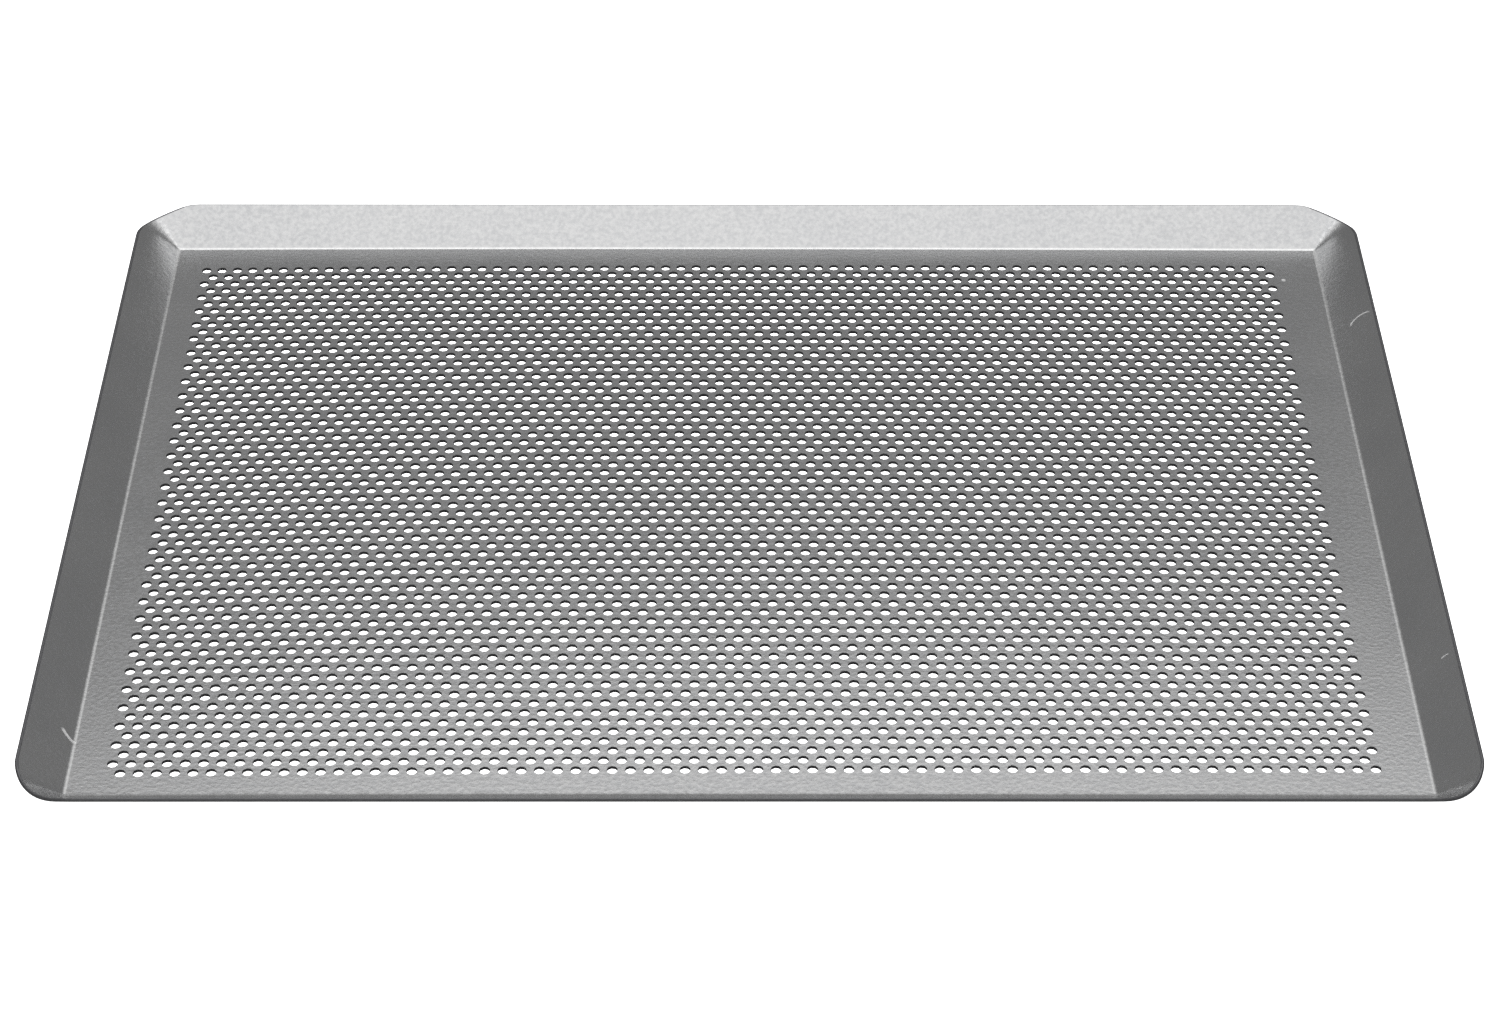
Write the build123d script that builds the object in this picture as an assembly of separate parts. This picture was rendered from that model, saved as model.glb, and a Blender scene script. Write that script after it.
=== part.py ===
from build123d import *
import os
from math import cos, radians, tan

# Perforated baking tray: one sheet of aluminium, pressed into a flat base with four low flared rims.
# The origin is the middle of the underside. +X runs along the long side, +Z points up out of the tray.

# Whole tray
length = 400.0
width = 300.0
height = 11.0
thickness = 1.0

# Rims, which slope at rim_angle to the base; bends and corners are measured on the inside of the sheet
rim_angle = 39.0
bend_radius = 1.5
base_corner_radius = 1.6
top_corner_radius = 15.0
outline_radius = 18.5

# Perforation: each row of holes is half a pitch to one side of the next. The sheet is perforated before it is
# pressed, so the field of holes lies a little off centre and askew on the base.
hole_diameter = 3.0
hole_pitch = 5.0
holes_per_row = 70
row_spacing = 4.0
row_count = 64
field_shift_x = -2.25
field_shift_y = -0.85
field_turn = 0.3

slope = tan(radians(rim_angle))
cut_rise = thickness * cos(radians(rim_angle))
outer_fold_inset = (height - cut_rise) / slope
inner_fold_inset = outer_fold_inset + thickness * tan(radians(rim_angle / 2))
overshoot = 4.0
field_half_length = (holes_per_row - 0.5) * hole_pitch / 2
strip_half_length = field_half_length + hole_pitch / 2
field_place = Location((field_shift_x, field_shift_y, 0), (0, 0, field_turn))


def rounded(size_x, size_y, radius, z):
    """A level rectangle with round corners, centred on the tray."""
    return (Pos(0, 0, z) * RectangleRounded(size_x, size_y, radius)).face()


def flare(inset, corner, bend, floor_z):
    """The solid whose underside and sides are one surface of the sheet, inner or outer."""
    rise = height + overshoot - floor_z
    spread = 2 * (rise / slope - inset)
    mouth_corner = corner + (top_corner_radius - base_corner_radius) * rise / height
    floor = rounded(length - 2 * inset, width - 2 * inset, corner, floor_z)
    mouth = rounded(length + spread, width + spread, mouth_corner, floor_z + rise)
    body = loft([floor, mouth], ruled=True)
    return fillet(body.faces().sort_by(Axis.Z)[0].edges(), bend)


def outline():
    """The space inside the cut edge of the rims, which is square to the sheet and upright at the corners."""
    widest = rounded(length, width, outline_radius, height - cut_rise)
    above = extrude(widest, height, taper=rim_angle)
    below = extrude(widest, -height)
    return above + below


def pressed_sheet():
    """The tray with a plain base."""
    outside = flare(outer_fold_inset, base_corner_radius + thickness, bend_radius + thickness, 0)
    inside = flare(inner_fold_inset, base_corner_radius, bend_radius, thickness)
    return (outside - inside) & outline()


def row_y(row):
    """The line of hole centres of a row in the field's own frame, counted from the back."""
    return ((row_count - 1) / 2 - row) * row_spacing


def hole_wire(row, column, z):
    """The circle of one hole at height z. The back row and every second one after it start furthest left."""
    stagger = (row % 2) * hole_pitch / 2
    x = column * hole_pitch + stagger - field_half_length
    return Wire.make_circle(hole_diameter / 2, Plane((x, row_y(row), z)))


def strip_face(row, z):
    """One row's strip of the base surface at height z, pierced by that row's holes."""
    front = row_y(row) - row_spacing / 2
    back = row_y(row) + row_spacing / 2
    corners = [(-strip_half_length, front, z), (strip_half_length, front, z)]
    corners += [(strip_half_length, back, z), (-strip_half_length, back, z)]
    return Face(Wire.make_polygon(corners), [hole_wire(row, i, z) for i in range(holes_per_row)])


def strip_solid(row):
    """The full thickness of one row's strip, in its place on the base."""
    return Solid.extrude(strip_face(row, 0), Vector(0, 0, thickness)).moved(field_place)


def border_face(surface):
    """A plain base surface with the field of holes cut out of it, its inner edge divided where the strips meet."""
    z = surface.center().Z
    edges_y = [row_y(row) + row_spacing / 2 for row in range(row_count)]
    edges_y.append(row_y(row_count - 1) - row_spacing / 2)
    inner = [(-strip_half_length, y, z) for y in edges_y]
    inner += [(strip_half_length, y, z) for y in reversed(edges_y)]
    return Face(surface.outer_wire(), [Wire.make_polygon(inner).moved(field_place)])


def is_level(face):
    return face.geom_type == GeomType.PLANE and abs(face.normal_at().Z) > 0.99


def is_hole_wall(face):
    return face.geom_type == GeomType.CYLINDER


def perforate(sheet):
    """The same sheet with the field of holes: its two base surfaces are rebuilt around one strip for each row."""
    base_surfaces = sheet.faces().sort_by(SortBy.AREA)[-2:]
    skin = [face for face in sheet.faces() if face not in base_surfaces]
    skin += [border_face(surface) for surface in base_surfaces]
    for row in range(row_count):
        skin += [face for face in strip_solid(row).faces() if is_level(face) or is_hole_wall(face)]
    shells = Face.sew_faces(skin)
    return Solid(Shell(shells[0]))


os.makedirs("parts", exist_ok=True)
tray_sheet = perforate(pressed_sheet())
export_step(tray_sheet, "parts/tray_sheet.step", write_pcurves=False)
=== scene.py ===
from math import cos, pi, radians, sin, sqrt, tan

import bmesh
import bpy
from mathutils import Euler, Matrix, Vector
from mathutils.geometry import delaunay_2d_cdt


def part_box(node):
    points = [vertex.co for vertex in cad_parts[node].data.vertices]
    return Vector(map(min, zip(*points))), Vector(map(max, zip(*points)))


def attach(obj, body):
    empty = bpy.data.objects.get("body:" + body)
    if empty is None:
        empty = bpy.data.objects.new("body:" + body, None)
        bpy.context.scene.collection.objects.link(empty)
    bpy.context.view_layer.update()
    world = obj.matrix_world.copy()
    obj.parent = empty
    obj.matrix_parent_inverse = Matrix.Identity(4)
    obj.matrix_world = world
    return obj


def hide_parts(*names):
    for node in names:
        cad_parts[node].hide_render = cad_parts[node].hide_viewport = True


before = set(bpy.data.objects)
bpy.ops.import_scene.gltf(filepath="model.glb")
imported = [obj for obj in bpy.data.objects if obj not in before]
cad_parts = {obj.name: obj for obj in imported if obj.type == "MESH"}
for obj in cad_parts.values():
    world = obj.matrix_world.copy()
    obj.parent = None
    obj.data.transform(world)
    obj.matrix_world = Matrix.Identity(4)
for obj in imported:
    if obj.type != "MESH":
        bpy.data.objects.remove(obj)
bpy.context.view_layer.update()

# A perforated baking tray pressed from one sheet of aluminium, in metres, in the frame of the CAD model.
# It is centred on the vertical axis and stands on z = 0, so its highest corner gives half its length, half
# its width and its height.
NODE = "tray_sheet"
MM = 0.001
HALF_X, HALF_Y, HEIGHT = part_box(NODE)[1]
THICKNESS = 1.0 * MM

# Rims. A run is a distance in plan outside the fold line, so a negative run lies on the base. The plan
# radius of the corners grows with the run, by CORNER_GROWTH times as much.
RIM_ANGLE = radians(39)
SLOPE = tan(RIM_ANGLE)
BEND_RADIUS = 1.6 * MM
BEND_START = -BEND_RADIUS * tan(RIM_ANGLE / 2)
BEND_END = -BEND_START * cos(RIM_ANGLE)
BASE_CORNER_RADIUS = 0.8 * MM
CORNER_GROWTH = 0.95
FOLD_INSET = (HEIGHT - THICKNESS * cos(RIM_ANGLE)) / SLOPE + THICKNESS * tan(RIM_ANGLE / 2)
FOLD_X = HALF_X - FOLD_INSET
FOLD_Y = HALF_Y - FOLD_INSET

# Cut edge, which the upper surface reaches at EDGE_RUN on the straight sides. A sheared band beside it
# has the look of cut metal, and its width depends on the kind of column.
EDGE_RUN = FOLD_INSET - THICKNESS * sin(RIM_ANGLE)
OUTLINE_RADIUS = 18.5 * MM
SHEARED_BAND = {"end": 0.55 * MM, "corner": 0.4 * MM, "side": 0.2 * MM}
EDGE_ROUNDING = 0.25 * MM

# Edges on the rims that turn by more than the first angle are rounded. After that, all edges that turn by
# more than the second are shaded as sharp.
ROUNDED_ANGLE = radians(60)
SHARP_ANGLE = radians(50)

# Perforation. The field of holes lies a little off centre and askew. Each hole is a polygon, and its wall
# leans outwards by the breakout on the underside.
HOLE_RADIUS = 1.5 * MM
HOLE_SIDES = 9
HOLE_BREAKOUT = 0.01 * MM
NO_HOLE = -1
PITCH = 5 * MM
HOLES_PER_ROW = 70
ROW_SPACING = 4 * MM
ROWS = 64
FIELD_SHIFT = Vector((-2.25 * MM, -0.85 * MM))
FIELD_TURN = radians(0.3)

# The whole sheet bulges up a little, most of all left of its middle
CROWN = 2.9 * MM
CROWN_SKEW = -0.25
CROWN_FLATNESS = 0.06

# How finely the rims are divided. A side step is a share of half the straight part of a side, counted from
# its middle.
SIDE_STEPS = (0.0, 0.12, 0.24, 0.36, 0.48, 0.6, 0.7, 0.78, 0.84, 0.88, 0.91, 0.935, 0.955, 0.97,
              0.982, 0.992)
CORNER_STEPS = 12
BORDER_RUNS = (-6.0 * MM, -3.0 * MM, -1.2 * MM)
BEND_STEPS = 5
RIM_STEPS = 6

# The search for the outline along a column: how far it looks, in edge runs, and how often it halves
REACH_MARGIN = 1.001
REACH_HALVINGS = 40

# Settings of the triangulation: triangles inside the outer loop only, and the distance that merges points
INSIDE_ONLY = 1
MERGE_DISTANCE = 1e-9

# Place of the cut metal among the tray's materials. The plain sheet comes first, at 0.
CUT = 1

# Colours. The bare metal's tone runs from dark at 0 to light at 1.
WHITE = (1, 1, 1, 1)
BARE_DARK = (0.66, 0.665, 0.675, 1)
BARE_LIGHT = (0.78, 0.78, 0.78, 1)
# The lighter colour of the marks, and a painted highlight along the bends
RUBBED_AND_HIGHLIGHT_COLOUR = (0.97, 0.97, 0.97, 1)
CUT_DARK = (0.16, 0.16, 0.17, 1)
CUT_LIGHT = (0.36, 0.36, 0.37, 1)
FLOOR_COLOUR = (0.9, 0.9, 0.9, 1)

# Grain, which is fine, and drift, which is broad. A noise node mostly stays within NOISE_RANGE. The tone
# is the sum of what each of the two gives.
GRAIN_SCALE = 750
DRIFT_SCALE = 45
CUT_GRAIN_SCALE = 2500
NOISE_RANGE = (0.3, 0.7)
GRAIN_TONE_RANGE = (0.35, 0.65)
GRAIN_TONE = (0, 0.75)
DRIFT_TONE = (0, 0.25)
GRAIN_HEIGHT = 0.055 * MM
CUT_GRAIN_HEIGHT = 0.02 * MM

# Roughness: the sum of what grain and drift give, and what is added where the sheet is rubbed, marked or
# scratched
GRAIN_ROUGHNESS = (0.31, 0.19)
DRIFT_ROUGHNESS = (-0.01, 0.01)
FOLD_ROUGHNESS = 0.13
MARK_ROUGHNESS = 0.6
SCRATCH_ROUGHNESS = -0.05
CUT_ROUGHNESS = (0.45, 0.6)
FLOOR_ROUGHNESS = 0.9

# The line along the bends, where the press rubbed the sheet over its edge. Its lighter colour is a painted
# highlight. A fade says where a line or mark starts to vanish and where it is gone, in shares of its half
# width, width or length.
FOLD_LINE_HALF_WIDTH = 0.5 * MM
FOLD_LINE_FADE = (0.4, 1.3)

# Two sets of faint scratches. A scratch shows where its stretched noise passes the threshold. Heights of
# scratches and marks are in units of the grain's.
SCRATCH_SETS = (
    {"angle": 0.5, "along": 45, "across": 1500, "threshold": 0.73},
    {"angle": -1.1, "along": 60, "across": 1800, "threshold": 0.74},
)
SCRATCH_SOFTNESS = 0.05
SCRATCH_HEIGHT = -0.15

# Three curved marks on the rims and a pit on the base. Each is a stretch of a fine ring, seen in plan:
# centre and radius of the ring, bearing of the middle of the stretch, its length, its width.
MARKS = (
    ((-182.8 * MM, -107.2 * MM), 9.0 * MM, radians(227), 6.0 * MM, 0.9 * MM),
    ((195.6 * MM, 84.9 * MM), 3.6 * MM, radians(105), 7.4 * MM, 0.55 * MM),
    ((196.6 * MM, -87.0 * MM), 1.6 * MM, radians(100), 2.2 * MM, 0.4 * MM),
    ((175.0 * MM, 118.8 * MM), 0.0, 0.0, 2.4 * MM, 1.3 * MM),
)
MARK_WIDTH_FADE = (0.3, 0.6)
MARK_LENGTH_FADE = (0.35, 0.5)
MARK_HEIGHT = -1.6

# Camera, at the photograph's viewing angle. Its turns are about X, Y and Z.
CAMERA_PLACE = (-0.00519, -0.92806, 0.68740)
CAMERA_TURNS = (radians(53.262), radians(-0.18), radians(-0.2154))
CAMERA_LENS = 91.98
CAMERA_SENSOR = 36

# Floor. Under the tray a flare adds to its glow, and grows over FLARE_REACH from the front to the back.
FLOOR_HALF_SIZE = 6.0
FLOOR_DROP = 0.0002
FLOOR_GLOW = 1.4
FLOOR_FLARE = (0.5, 2.9)
FLARE_REACH = (-0.2 * FOLD_Y, FOLD_Y)

# Sky: its strength at the horizon, the rise from there to overhead, the power of that rise, and the least
SKY_LEVEL = 0.168
SKY_RISE = 0.28
SKY_POWER = 3
SKY_LEAST = 0.03


def crown(x, y):
    """How far the sheet stands above a flat base."""
    a = x / HALF_X
    b = y / HALF_Y
    if abs(a) >= 1 or abs(b) >= 1:
        return 0.0
    fullness = 1 + CROWN_SKEW * a + CROWN_FLATNESS * (a * a + b * b)
    return CROWN * (1 - a * a) * (1 - b * b) * fullness


def rim_height(run):
    """Height of the sheet's upper surface above the base at a run."""
    if run <= BEND_START:
        return 0.0
    if run >= BEND_END:
        return run * SLOPE
    return BEND_RADIUS - sqrt(BEND_RADIUS ** 2 - (run - BEND_START) ** 2)


def inside_outline(x, y):
    """Whether a point of the upper surface lies within the rounded outline of the cut edge."""
    edge_x = FOLD_X + EDGE_RUN
    edge_y = FOLD_Y + EDGE_RUN
    radius = OUTLINE_RADIUS - THICKNESS * sin(RIM_ANGLE)
    dx = abs(x) - (edge_x - radius)
    dy = abs(y) - (edge_y - radius)
    if dx > 0 and dy > 0:
        return dx * dx + dy * dy <= radius * radius
    return abs(x) <= edge_x and abs(y) <= edge_y


def corner_radius(run):
    """Plan radius of the rims' corners at a run."""
    return BASE_CORNER_RADIUS + CORNER_GROWTH * max(run, 0.0)


def contour_point(column, run):
    """The plan position of one column of the rim at a run."""
    kind, side_x, side_y, value = column
    radius = corner_radius(run)
    centre_x = FOLD_X + run - radius
    centre_y = FOLD_Y + run - radius
    if kind == "corner":
        return side_x * (centre_x + radius * cos(value)), side_y * (centre_y + radius * sin(value))
    if kind == "end":
        return side_x * (FOLD_X + run), value * centre_y
    return value * centre_x, side_y * (FOLD_Y + run)


def rim_columns():
    """Columns round the tray, counter-clockwise from the front of the right end.

    A column has its kind, its side in X and in Y, and its angle at a corner or its share of half a side.
    """
    signed = [-s for s in reversed(SIDE_STEPS[1:])] + list(SIDE_STEPS)
    arc = [i / CORNER_STEPS * pi / 2 for i in range(CORNER_STEPS + 1)]
    columns = [("end", 1, 0, s) for s in signed]
    columns += [("corner", 1, 1, a) for a in arc]
    columns += [("side", 0, 1, -s) for s in signed]
    columns += [("corner", -1, 1, a) for a in reversed(arc)]
    columns += [("end", -1, 0, -s) for s in signed]
    columns += [("corner", -1, -1, a) for a in arc]
    columns += [("side", 0, -1, s) for s in signed]
    columns += [("corner", 1, -1, a) for a in reversed(arc)]
    return columns


def column_reach(column):
    """The run at which a column meets the outline."""
    low = 0.0
    high = EDGE_RUN * REACH_MARGIN
    for _ in range(REACH_HALVINGS):
        middle = (low + high) / 2
        if inside_outline(*contour_point(column, middle)):
            low = middle
        else:
            high = middle
    return low


def column_runs(column):
    """Runs of a column's vertices, from the border of the base over the bend to the cut edge."""
    reach = column_reach(column)
    bend = [BEND_START + (BEND_END - BEND_START) * i / BEND_STEPS for i in range(BEND_STEPS + 1)]
    plain = reach - SHEARED_BAND[column[0]]
    rim = [BEND_END + (plain - BEND_END) * i / RIM_STEPS for i in range(1, RIM_STEPS + 1)]
    return list(BORDER_RUNS) + bend + rim + [reach]


def surface(x, y, run):
    """The place of a point of the upper surface."""
    return Vector((x, y, THICKNESS + crown(x, y) + rim_height(run)))


def rim_rings():
    """Rings of vertices of the upper surface, the innermost first."""
    rings = []
    for column in rim_columns():
        runs = column_runs(column)
        rings.append([surface(*contour_point(column, run), run) for run in runs])
    return [list(ring) for ring in zip(*rings)]


def hole_centres():
    """Centres of the holes in plan, row by row from the back."""
    turn = Matrix.Rotation(FIELD_TURN, 2)
    centres = []
    for row in range(ROWS):
        y = ((ROWS - 1) / 2 - row) * ROW_SPACING
        stagger = (row % 2 - 0.5) * PITCH / 2
        for i in range(HOLES_PER_ROW):
            x = (i - (HOLES_PER_ROW - 1) / 2) * PITCH + stagger
            centres.append(turn @ Vector((x, y)) + FIELD_SHIFT)
    return centres


def hole_spokes():
    """Corners of one hole round its centre: a polygon of the same area as the circle."""
    wedge = 2 * pi / HOLE_SIDES
    reach = HOLE_RADIUS * sqrt(2 * pi / (HOLE_SIDES * sin(wedge)))
    angles = [(i + 0.5) * 2 * pi / HOLE_SIDES for i in range(HOLE_SIDES)]
    return [Vector((cos(a), sin(a))) * reach for a in angles]


def base_triangles(outer, centres):
    """The perforated base inside a loop of vertices.

    Gives its vertices, its triangles, and for each vertex the points it comes from and the hole it is on.
    """
    points = [Vector((v.x, v.y)) for v in outer]
    edges = [(i, (i + 1) % len(outer)) for i in range(len(outer))]
    spokes = hole_spokes()
    first_hole = len(points)
    for centre in centres:
        start = len(points)
        points += [centre + spoke for spoke in spokes]
        edges += [(start + i, start + (i + 1) % HOLE_SIDES) for i in range(HOLE_SIDES)]
    verts, _, faces, sources, _, _ = delaunay_2d_cdt(points, edges, [], INSIDE_ONLY, MERGE_DISTANCE)
    owner = []
    for source in sources:
        on_hole = source and source[0] >= first_hole
        owner.append((source[0] - first_hole) // HOLE_SIDES if on_hole else NO_HOLE)
    kept = []
    for face in faces:
        owners = {owner[i] for i in face}
        if len(owners) > 1 or NO_HOLE in owners:
            kept.append(tuple(face))
    return verts, kept, sources, owner


def upper_surface():
    """The sheet's upper surface as one mesh: the perforated base and the rims round it."""
    rings = rim_rings()
    count = len(rings[0])
    verts, faces, sources, owner = base_triangles(rings[0], hole_centres())
    places = [surface(v.x, v.y, BORDER_RUNS[0]) for v in verts]
    ring_index = [[0] * count for _ in rings]
    for index, source in enumerate(sources):
        if source and source[0] < count:
            ring_index[0][source[0]] = index
    for k, ring in enumerate(rings[1:], 1):
        for i, place in enumerate(ring):
            ring_index[k][i] = len(places)
            places.append(place)
    for k in range(len(rings) - 1):
        for i in range(count):
            j = (i + 1) % count
            faces.append((ring_index[k][i], ring_index[k + 1][i], ring_index[k + 1][j], ring_index[k][j]))
    mesh = bpy.data.meshes.new("upper_surface")
    mesh.from_pydata(places, [], faces)
    for polygon in mesh.polygons[-count:]:
        polygon.material_index = CUT
    holes = mesh.attributes.new("hole", "INT", "POINT")
    holes.data.foreach_set("value", owner + [NO_HOLE] * (len(places) - len(owner)))
    return mesh


def open_holes_below(mesh):
    """Punched holes break out a little wider on the underside than they start on top."""
    centres = hole_centres()
    holes = mesh.attributes["hole"].data
    for vertex in mesh.vertices:
        index = holes[vertex.index].value
        if index == NO_HOLE or vertex.co.z > THICKNESS / 2 + crown(vertex.co.x, vertex.co.y):
            continue
        outward = (vertex.co.xy - centres[index]).normalized() * HOLE_BREAKOUT
        vertex.co += outward.to_3d()
    mesh.attributes.remove(mesh.attributes["hole"])


def apply_modifiers(tray):
    depsgraph = bpy.context.evaluated_depsgraph_get()
    applied = bpy.data.meshes.new_from_object(tray.evaluated_get(depsgraph))
    tray.modifiers.clear()
    tray.data = applied


def is_outer(edge):
    """Whether an edge lies past the first third of the rims, well away from the holes."""
    middle = (edge.verts[0].co + edge.verts[1].co) / 2
    return abs(middle.x) > FOLD_X + EDGE_RUN / 3 or abs(middle.y) > FOLD_Y + EDGE_RUN / 3


def round_cut_edge(mesh):
    """Round the two long edges of the sheet's cut edge, all the way round the outline."""
    bm = bmesh.new()
    bm.from_mesh(mesh)
    bm.normal_update()
    edges = [e for e in bm.edges if is_outer(e) and e.calc_face_angle(0) > ROUNDED_ANGLE]
    bmesh.ops.bevel(bm, geom=edges, offset=EDGE_ROUNDING, segments=2, profile=0.5,
                    affect="EDGES", clamp_overlap=True, material=-1)
    bm.to_mesh(mesh)
    bm.free()


def make_tray(sheet, cut):
    """The whole tray: the upper surface thickened downwards, with its cut edge rounded."""
    tray = bpy.data.objects.new("pressed_tray", upper_surface())
    bpy.context.scene.collection.objects.link(tray)
    tray.data.materials.append(sheet)
    tray.data.materials.append(cut)
    thick = tray.modifiers.new("sheet", "SOLIDIFY")
    thick.thickness = THICKNESS
    thick.offset = -1
    thick.use_even_offset = True
    thick.use_quality_normals = True
    thick.material_offset_rim = CUT
    apply_modifiers(tray)
    open_holes_below(tray.data)
    round_cut_edge(tray.data)
    tray.data.shade_smooth()
    tray.data.set_sharp_from_angle(angle=SHARP_ANGLE)
    weighted = tray.modifiers.new("normals", "WEIGHTED_NORMAL")
    weighted.mode = "FACE_AREA"
    weighted.weight = 50
    weighted.keep_sharp = True
    apply_modifiers(tray)
    return tray


class Nodes:
    """A short way to add and link the nodes of one material or world."""

    def __init__(self, tree, coordinates):
        self.tree = tree
        self.place = self.add("ShaderNodeTexCoord").outputs[coordinates]

    def add(self, kind, **values):
        node = self.tree.nodes.new(kind)
        for key, value in values.items():
            setattr(node, key, value)
        return node

    def feed(self, socket, value):
        """Give an input another node's output, or a number, vector or colour of its own."""
        if isinstance(value, bpy.types.NodeSocket):
            self.tree.links.new(value, socket)
        else:
            socket.default_value = value

    def split(self):
        """The X, Y and Z of the place."""
        node = self.add("ShaderNodeSeparateXYZ")
        self.feed(node.inputs[0], self.place)
        return node.outputs["X"], node.outputs["Y"], node.outputs["Z"]

    def math(self, operation, *inputs):
        node = self.add("ShaderNodeMath", operation=operation)
        for socket, value in zip(node.inputs, inputs):
            self.feed(socket, value)
        return node.outputs[0]

    def plus(self, total, part, share):
        """A total with a share of another value added."""
        return self.math("ADD", total, self.math("MULTIPLY", part, share))

    def noise(self, scale, detail=2.0, place=None):
        node = self.add("ShaderNodeTexNoise")
        self.feed(node.inputs["Scale"], scale)
        self.feed(node.inputs["Detail"], detail)
        self.feed(node.inputs["Vector"], place or self.place)
        return node.outputs["Fac"]

    def spread(self, value, source, target):
        """A value's change over the source range, stretched to the target range and held beyond it."""
        node = self.add("ShaderNodeMapRange", clamp=True)
        names = ("From Min", "From Max", "To Min", "To Max")
        for name, number in zip(names, source + target):
            self.feed(node.inputs[name], number)
        self.feed(node.inputs["Value"], value)
        return node.outputs["Result"]

    def fade(self, distance, size, shares):
        """A value of 1 that falls to 0 between two distances, given as shares of a size."""
        return self.spread(distance, (size * shares[0], size * shares[1]), (1, 0))

    def blend(self, factor, first, second):
        """A mix of two colours, either of which may be another node's output."""
        node = self.add("ShaderNodeMix", data_type="RGBA")
        self.feed(node.inputs["A"], first)
        self.feed(node.inputs["B"], second)
        self.feed(node.inputs["Factor"], factor)
        return node.outputs["Result"]


class Material(Nodes):
    """The nodes of one material, with its shader."""

    def __init__(self, name):
        self.material = bpy.data.materials.new(name)
        self.material.use_nodes = True
        super().__init__(self.material.node_tree, "Object")
        self.shader = self.tree.nodes["Principled BSDF"]

    def shade(self, name, value):
        self.feed(self.shader.inputs[name], value)

    def bump(self, height, distance):
        node = self.add("ShaderNodeBump")
        self.feed(node.inputs["Strength"], 1.0)
        self.feed(node.inputs["Distance"], distance)
        self.feed(node.inputs["Height"], height)
        self.shade("Normal", node.outputs["Normal"])

    def streaks(self, angle, along, across, threshold):
        """Sparse fine scratches that run one way."""
        turned = self.add("ShaderNodeMapping")
        self.feed(turned.inputs["Rotation"], (0, 0, angle))
        self.feed(turned.inputs["Scale"], (along, across, along))
        self.feed(turned.inputs["Vector"], self.place)
        stretched = self.noise(1.0, 1.0, turned.outputs["Vector"])
        return self.spread(stretched, (threshold, threshold + SCRATCH_SOFTNESS), (0, 1))

    def plan(self):
        """The place in plan, with no height."""
        node = self.add("ShaderNodeVectorMath", operation="MULTIPLY")
        self.feed(node.inputs[0], self.place)
        self.feed(node.inputs[1], (1, 1, 0))
        return node.outputs["Vector"]

    def distance(self, place, x, y):
        """How far a place is from a point of the plan."""
        node = self.add("ShaderNodeVectorMath", operation="DISTANCE")
        self.feed(node.inputs[0], place)
        self.feed(node.inputs[1], (x, y, 0))
        return node.outputs["Value"]

    def arc_mark(self, centre, radius, bearing, length, width):
        """One mark: a short stretch, seen in plan, of a fine ring round its centre."""
        place = self.plan()
        off_ring = self.math("ABSOLUTE", self.math("SUBTRACT", self.distance(place, *centre), radius))
        line = self.fade(off_ring, width, MARK_WIDTH_FADE)
        middle = (centre[0] + radius * cos(bearing), centre[1] + radius * sin(bearing))
        stretch = self.fade(self.distance(place, *middle), length, MARK_LENGTH_FADE)
        return self.math("MULTIPLY", line, stretch)

    def fold_line(self):
        """The line along the bends: rubbed where the press drew the sheet over its edge, and a painted
        highlight.
        """
        x, y, _ = self.split()
        beyond_x = self.math("SUBTRACT", self.math("ABSOLUTE", x), FOLD_X)
        beyond_y = self.math("SUBTRACT", self.math("ABSOLUTE", y), FOLD_Y)
        run = self.math("ABSOLUTE", self.math("MAXIMUM", beyond_x, beyond_y))
        return self.fade(run, FOLD_LINE_HALF_WIDTH, FOLD_LINE_FADE)


def sheet_material():
    """Plain rolled aluminium with a fine pressed grain, faint scratches and a few marks of use."""
    m = Material("tray_aluminium")
    grain = m.noise(GRAIN_SCALE)
    drift = m.noise(DRIFT_SCALE)
    scratches = m.math("MAXIMUM", *[m.streaks(**scratch_set) for scratch_set in SCRATCH_SETS])
    marks = m.arc_mark(*MARKS[0])
    for mark in MARKS[1:]:
        marks = m.math("MAXIMUM", marks, m.arc_mark(*mark))
    rubbed_fold_highlight = m.fold_line()

    grain_tone = m.spread(grain, GRAIN_TONE_RANGE, GRAIN_TONE)
    drift_tone = m.spread(drift, NOISE_RANGE, DRIFT_TONE)
    bare = m.blend(m.math("ADD", grain_tone, drift_tone), BARE_DARK, BARE_LIGHT)
    # The lighter colour along the bends is a painted highlight; on the marks it is their own colour.
    m.shade("Base Color", m.blend(m.math("MAXIMUM", rubbed_fold_highlight, marks), bare, RUBBED_AND_HIGHLIGHT_COLOUR))

    grain_roughness = m.spread(grain, NOISE_RANGE, GRAIN_ROUGHNESS)
    drift_roughness = m.spread(drift, NOISE_RANGE, DRIFT_ROUGHNESS)
    roughness = m.math("ADD", grain_roughness, drift_roughness)
    roughness = m.plus(roughness, rubbed_fold_highlight, FOLD_ROUGHNESS)
    roughness = m.plus(roughness, marks, MARK_ROUGHNESS)
    m.shade("Roughness", m.plus(roughness, scratches, SCRATCH_ROUGHNESS))

    height = m.plus(grain, scratches, SCRATCH_HEIGHT)
    m.bump(m.plus(height, marks, MARK_HEIGHT), GRAIN_HEIGHT)
    m.shade("Metallic", 1.0)
    return m.material


def cut_material():
    """Sheared metal on the walls of the holes and on the outer cut edge: duller and darker."""
    m = Material("cut_aluminium")
    grain = m.noise(CUT_GRAIN_SCALE)
    m.shade("Base Color", m.blend(grain, CUT_DARK, CUT_LIGHT))
    m.shade("Roughness", m.spread(grain, NOISE_RANGE, CUT_ROUGHNESS))
    m.bump(grain, CUT_GRAIN_HEIGHT)
    m.shade("Metallic", 1.0)
    return m.material


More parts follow.
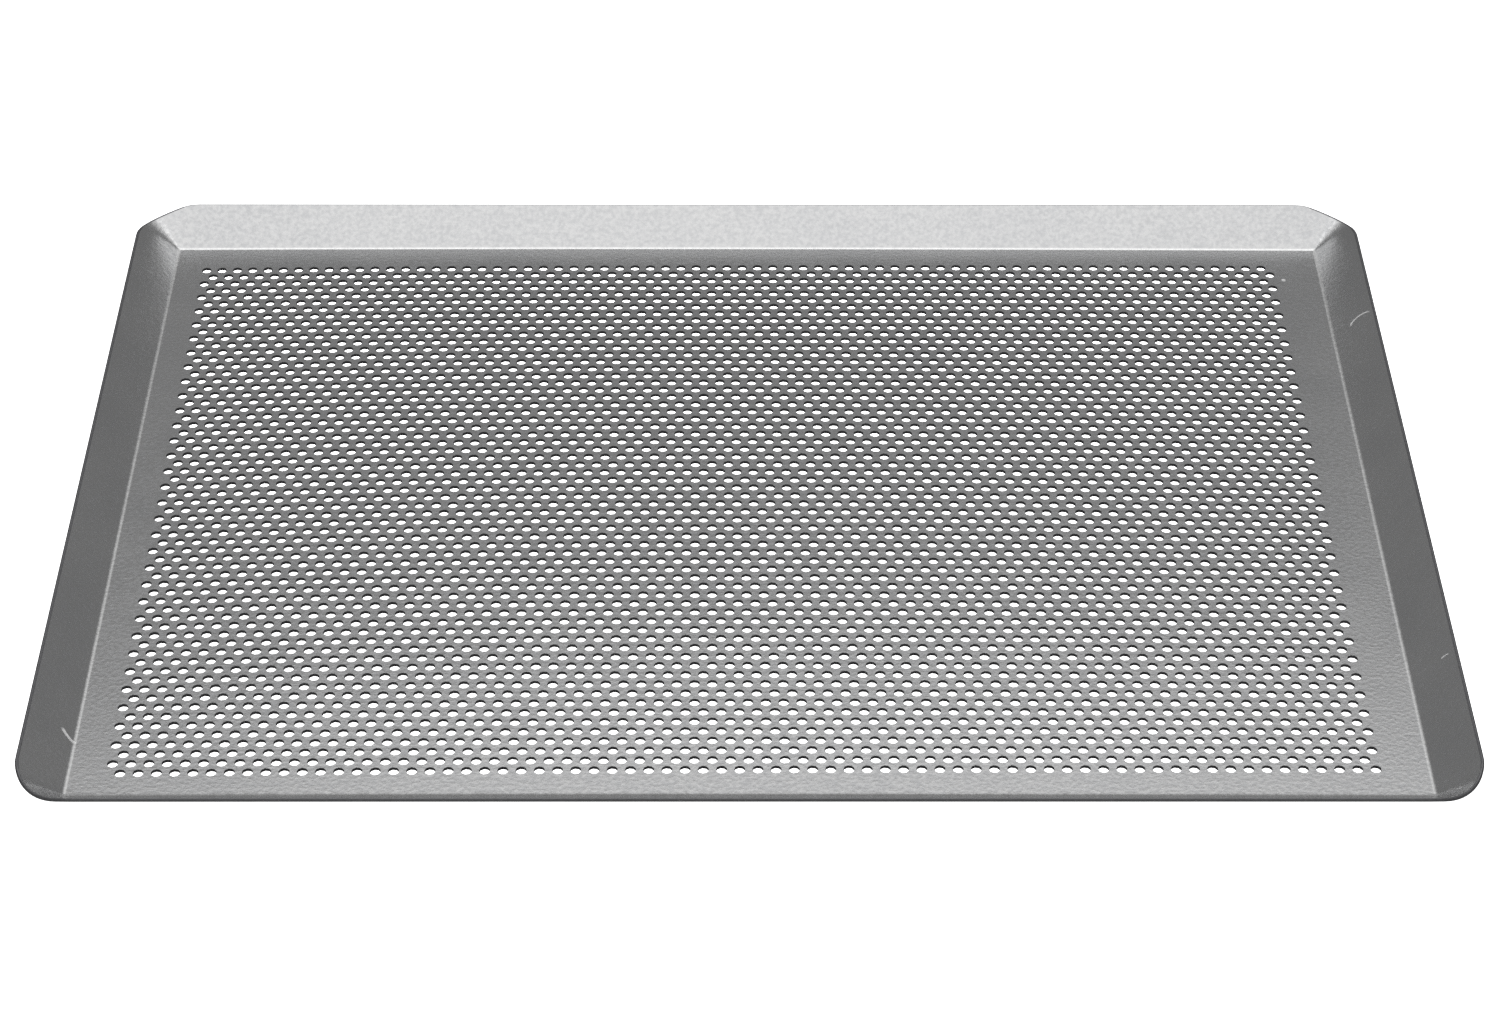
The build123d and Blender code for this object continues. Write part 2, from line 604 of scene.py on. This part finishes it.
def floor_material():
    """White all over. Under the tray it glows more towards the back, so that it flares in the holes."""
    m = Material("floor")
    x, y, _ = m.split()
    inside_x = m.math("LESS_THAN", m.math("ABSOLUTE", x), FOLD_X)
    inside_y = m.math("LESS_THAN", m.math("ABSOLUTE", y), FOLD_Y)
    flare = m.spread(y, FLARE_REACH, FLOOR_FLARE)
    inside = m.math("MULTIPLY", flare, m.math("MULTIPLY", inside_x, inside_y))
    m.shade("Emission Strength", m.math("ADD", inside, FLOOR_GLOW))
    m.shade("Emission Color", WHITE)
    m.shade("Base Color", FLOOR_COLOUR)
    m.shade("Roughness", FLOOR_ROUGHNESS)
    return m.material


def make_floor():
    """A plain white floor that only the camera sees, so that it doesn't light the metal from below."""
    mesh = bpy.data.meshes.new("floor")
    s = FLOOR_HALF_SIZE
    mesh.from_pydata([(-s, -s, 0), (s, -s, 0), (s, s, 0), (-s, s, 0)], [], [(0, 1, 2, 3)])
    mesh.materials.append(floor_material())
    floor = bpy.data.objects.new("floor", mesh)
    bpy.context.scene.collection.objects.link(floor)
    floor.location.z = -FLOOR_DROP
    floor.visible_diffuse = False
    floor.visible_glossy = False
    floor.visible_shadow = False


def make_camera():
    data = bpy.data.cameras.new("camera")
    data.sensor_width = CAMERA_SENSOR
    data.lens = CAMERA_LENS
    camera = bpy.data.objects.new("camera", data)
    camera.location = CAMERA_PLACE
    camera.rotation_euler = Euler(CAMERA_TURNS)
    bpy.context.scene.collection.objects.link(camera)
    bpy.context.scene.camera = camera


def area_light(name, location, turn, size_x, size_y, radiance):
    """A soft light that faces straight down, turned about the vertical. Its power follows from its area."""
    data = bpy.data.lights.new(name, "AREA")
    data.shape = "RECTANGLE"
    data.size = size_x
    data.size_y = size_y
    data.energy = radiance * pi * size_x * size_y
    light = bpy.data.objects.new(name, data)
    light.location = location
    light.rotation_euler.z = turn
    bpy.context.scene.collection.objects.link(light)


def make_world():
    """A soft dome, bright overhead and dim at the horizon and below."""
    world = bpy.data.worlds.new("world")
    bpy.context.scene.world = world
    world.use_nodes = True
    dome = Nodes(world.node_tree, "Generated")
    _, _, z = dome.split()
    strength = dome.math("MULTIPLY_ADD", dome.math("POWER", z, SKY_POWER), SKY_RISE, SKY_LEVEL)
    background = dome.tree.nodes["Background"]
    dome.feed(background.inputs["Strength"], dome.math("MAXIMUM", strength, SKY_LEAST))
    dome.feed(background.inputs["Color"], WHITE)


def make_lights():
    make_world()
    area_light("overhead", location=(0.05, 0.12, 0.9), turn=radians(8),
               size_x=1.5, size_y=1.5, radiance=0.54)
    area_light("strip", location=(0.0, 0.31, 0.88), turn=0.0,
               size_x=1.2, size_y=0.22, radiance=0.5)


make_camera()
make_lights()
make_floor()
tray = make_tray(sheet_material(), cut_material())
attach(tray, "root")
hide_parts(NODE)
bpy.context.scene.view_settings.view_transform = "Standard"
